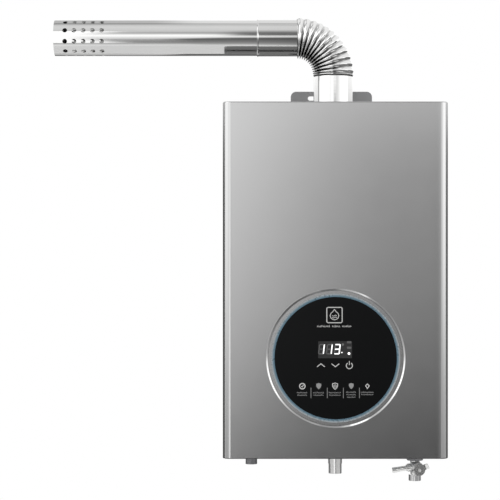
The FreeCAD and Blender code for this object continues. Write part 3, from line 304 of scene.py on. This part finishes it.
LOOKS = {
    # satin_metal has painted shade on its hems and curved sides.
    "satin_metal": material("satin_metal", (0.56, 0.56, 0.56), 1.0, 0.15, tint=0.012, rough_play=0.01,
                            grain=700, bump=0.006, paint_edge_shade=True),
    "grey_steel": material("grey_steel", (0.36, 0.36, 0.365), 0.4, 0.42, grain=600, bump=0.05),
    "galvanised": material("galvanised", (0.52, 0.53, 0.54), 1.0, 0.42, tint=0.15, rough_play=0.1, grain=260),
    "bright_steel": material("bright_steel", (0.66, 0.66, 0.66), 1.0, 0.25, grain=900),
    "stainless": material("stainless", (0.72, 0.72, 0.715), 1.0, 0.06, tint=0.02, rough_play=0.02, grain=300,
                          bump=0.01, stretch=(0.1, 1, 1)),
    # folded_steel has painted shade between its ridges.
    "folded_steel": material("folded_steel", (0.88, 0.88, 0.875), 1.0, 0.12, tint=0.03, rough_play=0.03,
                             grain=300, bump=0.01, paint_fold_shade=True),
    "chrome": material("chrome", (0.80, 0.80, 0.80), 1.0, 0.09, tint=0.02, rough_play=0.02, bump=0.01),
    "nickel": material("nickel", (0.88, 0.875, 0.87), 0.9, 0.22, tint=0.03, rough_play=0.03, grain=500),
    "valve_nickel": material("valve_nickel", (0.88, 0.88, 0.87), 0.9, 0.20, tint=0.06, grain=500, bump=0.04),
    "valve_cap": material("valve_cap", (0.84, 0.84, 0.83), 0.35, 0.32, tint=0.06, grain=500, bump=0.04),
    "dark_metal": material("dark_metal", (0.24, 0.24, 0.25), 0.8, 0.4, grain=500),
    "black_metal": material("black_metal", (0.03, 0.03, 0.032), 0.2, 0.45, grain=400, bump=0.06),
    "cast_aluminium": material("cast_aluminium", (0.58, 0.58, 0.57), 1.0, 0.55, tint=0.1, grain=700,
                               bump=0.25),
    "copper": material("copper", (0.80, 0.43, 0.29), 1.0, 0.30, tint=0.12, rough_play=0.1, grain=180),
    "brass": material("brass", (0.78, 0.58, 0.28), 1.0, 0.28, tint=0.08, grain=500),
    "blue_grey_plastic": material("blue_grey_plastic", (0.17, 0.23, 0.28), 0.3, 0.35, tint=0.05,
                                  grain=500),
    "black_plastic": material("black_plastic", (0.03, 0.03, 0.03), 0.0, 0.5, grain=900, bump=0.1),
    "white_plastic": material("white_plastic", (0.78, 0.78, 0.75), 0.0, 0.45, tint=0.03, grain=600,
                              bump=0.05),
    "circuit_board": material("circuit_board", (0.03, 0.17, 0.07), 0.0, 0.35, tint=0.2, grain=300,
                              coat=0.3),
    "black_glass": material("black_glass", (0.006, 0.0063, 0.0066), 0.0, 0.08, tint=0.03, rough_play=0.01,
                            bump=0.0, specular=0.12),
    "rubber": material("rubber", (0.03, 0.03, 0.03), 0.0, 0.75, grain=900, bump=0.15),
    "silicone": material("silicone", (0.45, 0.07, 0.05), 0.0, 0.45, tint=0.05, grain=500),
    "ceramic": material("ceramic", (0.82, 0.80, 0.75), 0.0, 0.6, tint=0.04, grain=500),
    "print_white": material("print_white", (0.62, 0.62, 0.61), roughness=0.5, tint=0.03, grain=900),
    "print_grey": material("print_grey", (0.30, 0.30, 0.30), roughness=0.5, tint=0.04, grain=900),
    "window_grey": material("window_grey", (0.012, 0.0123, 0.0128), roughness=0.4, tint=0.04, grain=900),
    "ghost_grey": material("ghost_grey", (0.11, 0.11, 0.11), roughness=0.4, tint=0.05, grain=900),
    "lit_white": material("lit_white", (0.9, 0.9, 0.9), roughness=0.4, tint=0.02, emission=0.9),
}

SLOT_OF = {s["node"]: s["material_slot"] for s in frame["record"]["subparts"]}
for node, obj in NODES.items():
    obj.data.materials.clear()
    obj.data.materials.append(LOOKS[SLOT_OF[node]])


# ---------------------------------------------------------------- mesh helpers
def piece(name, verts, faces, body, look, smooth_angle=35.0, replaces=()):
    """A mesh from points in metres; look is a name in LOOKS, or a material of its own."""
    mesh = bpy.data.meshes.new(name)
    mesh.from_pydata([tuple(v) for v in verts], [], faces)
    mesh.update()
    obj = bpy.data.objects.new(name, mesh)
    scene.collection.objects.link(obj)
    mesh.shade_smooth()
    mesh.set_sharp_from_angle(angle=math.radians(smooth_angle))
    mesh.materials.append(LOOKS[look] if isinstance(look, str) else look)
    if body:
        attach(obj, body)
    if replaces:
        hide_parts(*replaces)
    return obj


def grid_faces(rows, columns, wrap_rows=False):
    """Quads between rows of points, each row closed on itself."""
    faces = []
    for r in range(rows if wrap_rows else rows - 1):
        for c in range(columns):
            r2, c2 = (r + 1) % rows, (c + 1) % columns
            faces.append((r * columns + c, r * columns + c2, r2 * columns + c2, r2 * columns + c))
    return faces


# ---------------------------------------------------------------- the corrugated elbow, in millimetres
FLUE_Y = -62.0
BEND_R = 58.7
BEND_Z = 330.2
RIBS = 12
UP = (0, 0, 1)
FORWARD = (0, -1, 0)


def bellows():
    """Rolled ridges round a quarter circle, with valleys that are deeper on the inside of the bend."""
    crest, wall = 32.8, 0.5
    root_outside, root_inside = 30.6, 28.0
    # the share of painted shade that the valleys get on the outside of the bend
    outer_valley_shade = 0.45
    around, per_rib = 112, 14
    rings = []
    for k in range(RIBS * per_rib + 1):
        t = k / per_rib
        rings.append((90.0 * t / RIBS, (0.5 - 0.5 * math.cos(2 * math.pi * t)) ** 0.75, 0.0))
    skins = rings + [(a, ridge, wall) for a, ridge, _ in reversed(rings)]
    verts, valley_shade_weights = [], []
    for angle, ridge, inset in skins:
        a = math.radians(angle)
        out = Vector((math.cos(a), 0, math.sin(a)))
        centre = Vector((-BEND_R, FLUE_Y, BEND_Z)) + out * BEND_R
        for c in range(around):
            b = 2 * math.pi * c / around
            inside = 0.5 - 0.5 * math.cos(b)
            root = root_outside + (root_inside - root_outside) * inside
            radius = root + (crest - root) * ridge - inset
            off = out * (radius * math.cos(b)) + Vector((0, radius * math.sin(b), 0))
            verts.append((centre + off) * MM)
            # How much painted shade each point gets: most deep in a valley and on the inside of the bend.
            valley_shade_weights.append((1 - ridge) * (outer_valley_shade + (1 - outer_valley_shade) * inside))
    faces = grid_faces(len(skins), around, wrap_rows=True)
    obj = piece("elbow_bellows", verts, faces, None, LOOKS["folded_steel"], 60, replaces=["corrugated_bend"])
    obj.data.attributes.new("valley_shade_weight", "FLOAT", "POINT").data.foreach_set("value", valley_shade_weights)
    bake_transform(obj)


bellows()


def lathe(name, outline, centre, axis, body, look, steps=128, replaces=(), smooth_angle=35.0):
    """Turns a closed outline of (radius, distance along the axis) round an axis through centre."""
    along = Vector(axis).normalized()
    side = along.orthogonal().normalized()
    up = along.cross(side)
    verts = []
    for radius, distance in outline:
        for k in range(steps):
            a = 2 * math.pi * k / steps
            out = side * math.cos(a) + up * math.sin(a)
            verts.append((Vector(centre) + along * distance + out * radius) * MM)
    faces = grid_faces(len(outline), steps, wrap_rows=True)
    return piece(name, verts, faces, body, look, smooth_angle, replaces)


def cuff():
    """The plain lower end of the elbow, with a rolled bead under the first ridge and a groove holding a black
    ring that is painted shade.
    """
    outline = [
        (31.08, 281.0), (31.75, 281.0), (31.75, 325.4), (31.5, 325.9), (31.0, 326.2), (31.0, 327.8),
        (31.5, 328.0), (32.0, 328.5), (32.1, 329.1), (31.9, 329.8), (31.3, 330.2), (28.2, 330.2),
        (27.8, 329.8), (28.4, 328.6), (31.08, 328.0),
    ]
    flue = (0, FLUE_Y, 0)
    lathe("cuff_tube", outline, flue, UP, "duct_lower", "stainless", replaces=["duct_cuff"], smooth_angle=15)
    # A black ring in the groove, standing for the groove's shade.
    groove_shade = [(31.02, 326.3), (31.3, 326.3), (31.3, 327.8), (31.02, 327.8)]
    lathe("cuff_groove_shade", groove_shade, flue, UP, "duct_lower", "rubber")


cuff()


# ---------------------------------------------------------------- printing on the glass
PANEL_Z = -122.0
GLASS_FRONT = -141.6
PRINT_SUNK = 0.02  # how far inside the glass's face a mark ends
KEY_ROW = -11.1
ICON_ROW = -43.8
ICONS = (-52.3, -26.6, -1.1, 24.3, 49.5)


class Print:
    """Flat marks on the glass, drawn in millimetres right of and above the dial's centre."""

    def __init__(self, proud=0.05):
        self.front = GLASS_FRONT - proud
        self.verts = []
        self.faces = []

    def point(self, u, v, y):
        self.verts.append(Vector((u, y, PANEL_Z + v)) * MM)
        return len(self.verts) - 1

    def band(self, outer, inner, closed=True):
        """The area between two lines with the same number of points."""
        count = len(outer)
        back = GLASS_FRONT + PRINT_SUNK
        lines = ((outer, self.front), (inner, self.front), (inner, back), (outer, back))
        rows = [[self.point(u, v, y) for u, v in line] for line, y in lines]
        for k in range(count if closed else count - 1):
            n = (k + 1) % count
            for a in range(4):
                b = (a + 1) % 4
                self.faces.append((rows[a][k], rows[b][k], rows[b][n], rows[a][n]))
        if not closed:
            self.faces.append(tuple(row[0] for row in reversed(rows)))
            self.faces.append(tuple(row[-1] for row in rows))

    def area(self, points):
        front = [self.point(u, v, self.front) for u, v in points]
        back = [self.point(u, v, GLASS_FRONT + PRINT_SUNK) for u, v in points]
        self.faces.append(tuple(front))
        self.faces.append(tuple(reversed(back)))
        for k in range(len(points)):
            n = (k + 1) % len(points)
            self.faces.append((front[k], back[k], back[n], front[n]))

    def box(self, u0, u1, v0, v1):
        self.area([(u0, v0), (u1, v0), (u1, v1), (u0, v1)])

    def line(self, points, width, closed=False):
        """A stroke of even width along a line of points, with mitred corners."""
        count = len(points)
        left, right = [], []
        for k, point in enumerate(points):
            here = Vector(point)
            before = Vector(points[k - 1]) if closed or k else None
            after = Vector(points[(k + 1) % count]) if closed or k < count - 1 else None
            ways = [(here - before).normalized()] if before else []
            ways += [(after - here).normalized()] if after else []
            across = [Vector((-w.y, w.x)) for w in ways]
            middle = sum(across, Vector((0, 0))).normalized()
            reach = width / 2 / max(0.3, middle.dot(across[0]))
            left.append(tuple(here + middle * reach))
            right.append(tuple(here - middle * reach))
        self.band(left, right, closed)

    def ring(self, u, v, radius, width, start=0.0, end=360.0, points=36):
        """A whole ring, or the part of it between two angles in degrees."""
        full = end - start >= 360
        steps = points if full else points - 1
        angles = [math.radians(start + (end - start) * k / steps) for k in range(points)]
        radii = (radius + width / 2, radius - width / 2)
        lines = [[(u + r * math.cos(a), v + r * math.sin(a)) for a in angles] for r in radii]
        self.band(*lines, closed=full)

    def disc(self, u, v, radius, points=28):
        angles = [2 * math.pi * k / points for k in range(points)]
        self.area([(u + radius * math.cos(a), v + radius * math.sin(a)) for a in angles])

    def rounded(self, u, v, half_w, half_h, corner):
        """The outline of a box with rounded corners."""
        corners = ((half_w, half_h), (-half_w, half_h), (-half_w, -half_h), (half_w, -half_h))
        points = []
        for (cu, cv), start in zip(corners, (0, 90, 180, 270)):
            for k in range(6):
                a = math.radians(start + 18 * k)
                points.append((u + cu - math.copysign(corner, cu) + corner * math.cos(a),
                               v + cv - math.copysign(corner, cv) + corner * math.sin(a)))
        return points

    def words(self, u0, u1, v, height, pitch=2.0):
        """A run of upright ticks that reads as a line of small type from a distance."""
        count = max(2, round((u1 - u0) / pitch))
        step = (u1 - u0) / count
        for k in range(count):
            tall = height if (k * 7 + count) % 5 == 0 else height * 0.74
            left = u0 + k * step
            self.box(left, left + step * 0.3, v - height / 2, v - height / 2 + tall)
            bar = v - height / 2 + (0.0 if k % 3 else tall * 0.42)
            self.box(left + step * 0.3, left + step * 0.72, bar, bar + height * 0.22)

    def made(self, name, look, slot):
        obj = piece(name, self.verts, self.faces, "cover", look, 30)


def shield(u, v, size):
    """The outline of a small shield."""
    outline = [(-0.8, 0.75), (0.0, 1.0), (0.8, 0.75), (0.78, 0.0), (0.45, -0.6), (0.0, -1.0), (-0.45, -0.6),
               (-0.78, 0.0)]
    return [(u + a * size, v + b * size) for a, b in outline]


def digit(mark, u, lit):
    """The lit segments of one seven-segment digit, leaning slightly to the right, with pointed ends."""
    width, height, thick, low, gap, slant = 9.2, 16.2, 1.8, 6.0, 0.3, 0.12
    half = height / 2
    t = thick / 2
    places = {
        "top": ((t + gap, height - t), (width - t - gap, height - t)),
        "middle": ((t + gap, half), (width - t - gap, half)),
        "bottom": ((t + gap, t), (width - t - gap, t)),
        "upper_left": ((t, half + gap), (t, height - t - gap)),
        "upper_right": ((width - t, half + gap), (width - t, height - t - gap)),
        "lower_left": ((t, t + gap), (t, half - gap)),
        "lower_right": ((width - t, t + gap), (width - t, half - gap)),
    }
    for name in lit:
        (a0, b0), (a1, b1) = places[name]
        way = Vector((a1 - a0, b1 - b0)).normalized()
        out = Vector((-way.y, way.x)) * t
        end = way * t * 0.8
        a, b = Vector((a0, b0)), Vector((a1, b1))
        outline = [a - end * 0.9, a + end * 0.3 - out, b - end * 0.3 - out, b + end * 0.9,
                   b - end * 0.3 + out, a + end * 0.3 + out]
        mark.area([(u + p.x + slant * (p.y - half), low + p.y) for p in outline])


SEGMENTS = ("top", "middle", "bottom", "upper_left", "upper_right", "lower_left", "lower_right")
ONE = ("upper_right", "lower_right")
THREE = ("top", "middle", "bottom", "upper_right", "lower_right")
DIGITS = ((-26.9, ONE), (-14.6, ONE), (-2.2, THREE))


def display():
    """The small screen: its window, the unlit segments, the lit digits and dots, and the degree ring."""
    window = Print(0.02)
    window.area(window.rounded(-1.0, 13.2, 26.5, 13.25, 1.2))
    window.made("display_window", "window_grey", "black_plastic")
    ghosts, lit = Print(0.05), Print(0.08)
    for u, segments in DIGITS:
        digit(ghosts, u, [s for s in SEGMENTS if s not in segments])
        digit(lit, u, segments)
    for v in (24.9, 16.4):
        ghosts.area(ghosts.rounded(21.0, v, 3.4, 1.7, 0.8))
    ghosts.made("display_ghosts", "ghost_grey", "black_plastic")
    lit.disc(9.6, 8.9, 1.0)
    lit.disc(20.7, 7.4, 2.0)
    lit.made("display_digits", "lit_white", "white_plastic")
    degree = Print(0.05)
    degree.ring(11.1, 21.5, 1.2, 0.7)
    degree.made("display_degree", "print_grey", "white_plastic")


def dial_marks():
    """A drop in a box, three lines of type, two arrows, a power mark and five small icons with labels."""
    marks = Print()
    marks.line(marks.rounded(-2.0, 67.5, 12.0, 12.0, 2.2), 1.4, closed=True)
    drop = [(0, 9.0), (2.6, 5.6), (5.6, 3.0), (6.9, -0.6), (5.6, -4.4), (2.6, -6.6), (0, -7.2), (-2.6, -6.6),
            (-5.6, -4.4), (-6.9, -0.6), (-5.6, 3.0), (-2.6, 5.6)]
    marks.line([(-2.0 + a, 67.2 + b) for a, b in drop], 1.1, closed=True)
    for v in (-0.6, -3.6):
        marks.line([(-2.0 + 0.9 * k, 67.2 + v + 0.8 * math.sin(0.9 * k)) for k in range(-4, 5)], 0.9)
    for u0, u1 in ((-29.1, -8.5), (-5.5, 7.5), (10.0, 25.0)):
        marks.words(u0, u1, 50.3, 3.2, 2.2)
    for u, way in ((-23.2, 1), (-0.6, -1)):
        base, tip = KEY_ROW - way * 2.4, KEY_ROW + way * 2.4
        marks.line([(u - 6.0, base), (u, tip), (u + 6.0, base)], 1.35)
    marks.ring(21.3, -11.6, 4.8, 1.3, 125, 415)
    marks.box(20.7, 21.9, -10.6, -4.4)
    marks.ring(ICONS[0], ICON_ROW, 4.3, 1.5)
    marks.line([(-54.2, -43.6), (-52.6, -45.2), (-50.2, -41.4)], 1.1)
    marks.line(shield(ICONS[2], ICON_ROW, 5.0), 1.2, closed=True)
    marks.ring(ICONS[2], ICON_ROW + 0.2, 1.8, 1.0)
    marks.line([(49.5, -40.4), (52.4, -43.2), (49.5, -47.4), (46.6, -43.2)], 1.3, closed=True)
    marks.made("dial_marks", "print_white", "white_plastic")
    soft = Print()
    soft.area(shield(ICONS[1], ICON_ROW, 4.9))
    soft.area(shield(ICONS[3], ICON_ROW + 0.2, 4.7))
    for u in (-38.8, -13.3, 11.9, 37.0):
        soft.box(u - 0.4, u + 0.4, -62.6, -46.2)
    two_lines = (-53.7, -57.6)
    reaches = (8.4, 8.6, 9.6, 8.0, 10.2)
    lines = (two_lines, two_lines, two_lines, (-52.9, -56.8, -60.7), (-53.0, -56.6))
    for u, reach, heights in zip(ICONS, reaches, lines):
        for k, v in enumerate(heights):
            soft.words(u - reach + k * 0.7, u + reach - k * 0.4, v, 2.3, 1.9)
    soft.made("dial_labels", "print_grey", "white_plastic")


display()
dial_marks()


# ---------------------------------------------------------------- the ring round the glass
def ring_look(name, inner, outer, near, far, **settings):
    """A satin ring whose colour changes from near at its inner radius to far at its outer one."""
    made = material(name, far, **settings)
    g = Graph(made.node_tree, fresh=False)
    place = g.add("ShaderNodeTexCoord").outputs["Object"]
    x, _, z = g.add("ShaderNodeSeparateXYZ", {0: place}).outputs
    up = g.less(z, PANEL_Z * MM)
    radius = g.math("SQRT", g.plus(g.times(x, x), g.times(up, up)))
    ends = {"Factor": g.between(radius, inner * MM, outer * MM), "A": (*near, 1), "B": (*far, 1)}
    blended = g.add("ShaderNodeMix", ends, data_type="RGBA").outputs[2]
    hsv = next(n for n in made.node_tree.nodes if n.type == "HUE_SAT")
    made.node_tree.links.new(blended, hsv.inputs["Color"])
    return made


def bezel():
    """A satin land inside a rim whose chrome face slopes inwards, and the lit ring inside the land."""
    dial, steps = (0, 0, PANEL_Z), 180
    land = [(99.1, 134.0), (99.9, 134.0), (99.9, 140.0), (109.1, 140.0), (109.1, 140.6), (106.2, 140.6),
            (106.0, 141.3), (100.9, 141.3), (100.9, 140.4), (99.1, 140.4)]
    land_look = ring_look("bezel_satin", 104.0, 106.0, (0.55, 0.55, 0.55), (0.50, 0.50, 0.50), metallic=1.0,
                          roughness=0.18, tint=0.02, rough_play=0.02, bump=0.006)
    obj = lathe("bezel_land", land, dial, FORWARD, "cover", land_look, steps, ["panel_bezel"], 20)
    rim = [(109.1, 140.6), (109.1, 142.35), (108.95, 142.35), (106.4, 141.42), (106.2, 140.6)]
    lathe("bezel_rim", rim, dial, FORWARD, "cover", SLOT_OF["panel_bezel"], steps, (), 20)
    lit = [(95.8, 137.0), (98.9, 137.0), (98.9, 140.7), (100.7, 140.7), (100.7, 141.1), (98.0, 141.05),
           (95.8, 141.0)]
    lit_look = ring_look("light_ring_glow", 96.6, 101.0, (0.13, 0.23, 0.30), (0.44, 0.48, 0.50), metallic=0.5,
                         roughness=0.3, tint=0.03)
    obj = lathe("light_ring_face", lit, dial, FORWARD, "cover", lit_look, steps, ["light_ring"], 20)
    glass = [(0.01, 138.6), (95.6, 138.6), (95.6, 141.2), (95.2, 141.6), (0.01, 141.6)]
    lathe("glass_face", glass, dial, FORWARD, "cover", SLOT_OF["glass_panel"], steps, ["glass_panel"], 20)


bezel()


# ---------------------------------------------------------------- the fittings under the case
VALVE_MIDDLE = Vector((132.5, -64.0, -301.5))
VALVE_AXIS = Vector((0.26, -0.94, -0.21)).normalized()


def supply_nut():
    """The cold supply nut, with eight rounded ribs down its outside and a hollow for the valve's flange."""
    middle_x, steps = 131.5, 160
    low, ledge, under, top = -324.2, -318.6, -315.8, -314.2
    bore, flange_hollow, throat = 8.33, 8.63, 7.06
    valley, rib_height, rib_turn = 9.05, 0.75, 0.6
    ribbed = None  # stands for the radius of the ribbed outside
    outline = [(bore, low), (ribbed, low), (ribbed, top), (throat, top), (throat, under),
               (flange_hollow, under), (flange_hollow, ledge), (bore, ledge)]
    verts = []
    for radius, z in outline:
        for k in range(steps):
            a = 2 * math.pi * k / steps
            r = radius or valley + rib_height * abs(math.cos(4 * a + rib_turn)) ** 0.7
            verts.append(Vector((middle_x + r * math.cos(a), FLUE_Y + r * math.sin(a), z)) * MM)
    faces = grid_faces(len(outline), steps, wrap_rows=True)
    piece("supply_nut_ribs", verts, faces, "swivel_nut", "chrome", 40, ["supply_nut"])


supply_nut()


def bonnet_spring():
    """The coil behind the relief valve's stem."""
    start = Vector((0.906, 0.0, 0.423))
    side = (start - VALVE_AXIS * start.dot(VALVE_AXIS)).normalized()
    up = VALVE_AXIS.cross(side)
    radius, wire = 3.9, 0.28
    low, pitch, turns = 5.35, 1.64, 3
    steps, around = 36, 10
    rows = turns * steps + 1
    verts = []
    for k in range(rows):
        a = 2 * math.pi * k / steps
        out = side * math.cos(a) + up * math.sin(a)
        at = VALVE_MIDDLE + out * radius + VALVE_AXIS * (low + pitch * k / steps)
        for c in range(around):
            b = 2 * math.pi * c / around
            verts.append((at + (out * math.cos(b) + VALVE_AXIS * math.sin(b)) * wire) * MM)
    ends = [tuple(range(around)), tuple(reversed(range((rows - 1) * around, rows * around)))]
    faces = grid_faces(rows, around) + ends
    obj = piece("relief_coil", verts, faces, None, LOOKS["bright_steel"], 60, ["relief_spring"])
    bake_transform(obj)


bonnet_spring()

VALVE_LOOKS = {
    "relief_bonnet": "valve_cap",
    "relief_valve_body": "valve_nickel",
    "relief_lever": "valve_nickel",
    "discharge_spout": "valve_nickel",
    "relief_stem": "valve_cap",
    "valve_union_nut": "dark_metal",
}
for node, look in VALVE_LOOKS.items():
    NODES[node].data.materials[0] = LOOKS[look]


# ---------------------------------------------------------------- floor
def floor():
    """A round pale floor, well below the object."""
    radius, z, steps = 1.1, -1.0, 120
    angles = [2 * math.pi * k / steps for k in range(steps)]
    edge = [(radius * math.cos(a), radius * math.sin(a), z) for a in angles]
    white = material("floor_white", (0.85, 0.85, 0.85), 0, 0.8, tint=0.01, grain=20)
    obj = piece("floor", edge, [tuple(range(steps))], None, white)


floor()
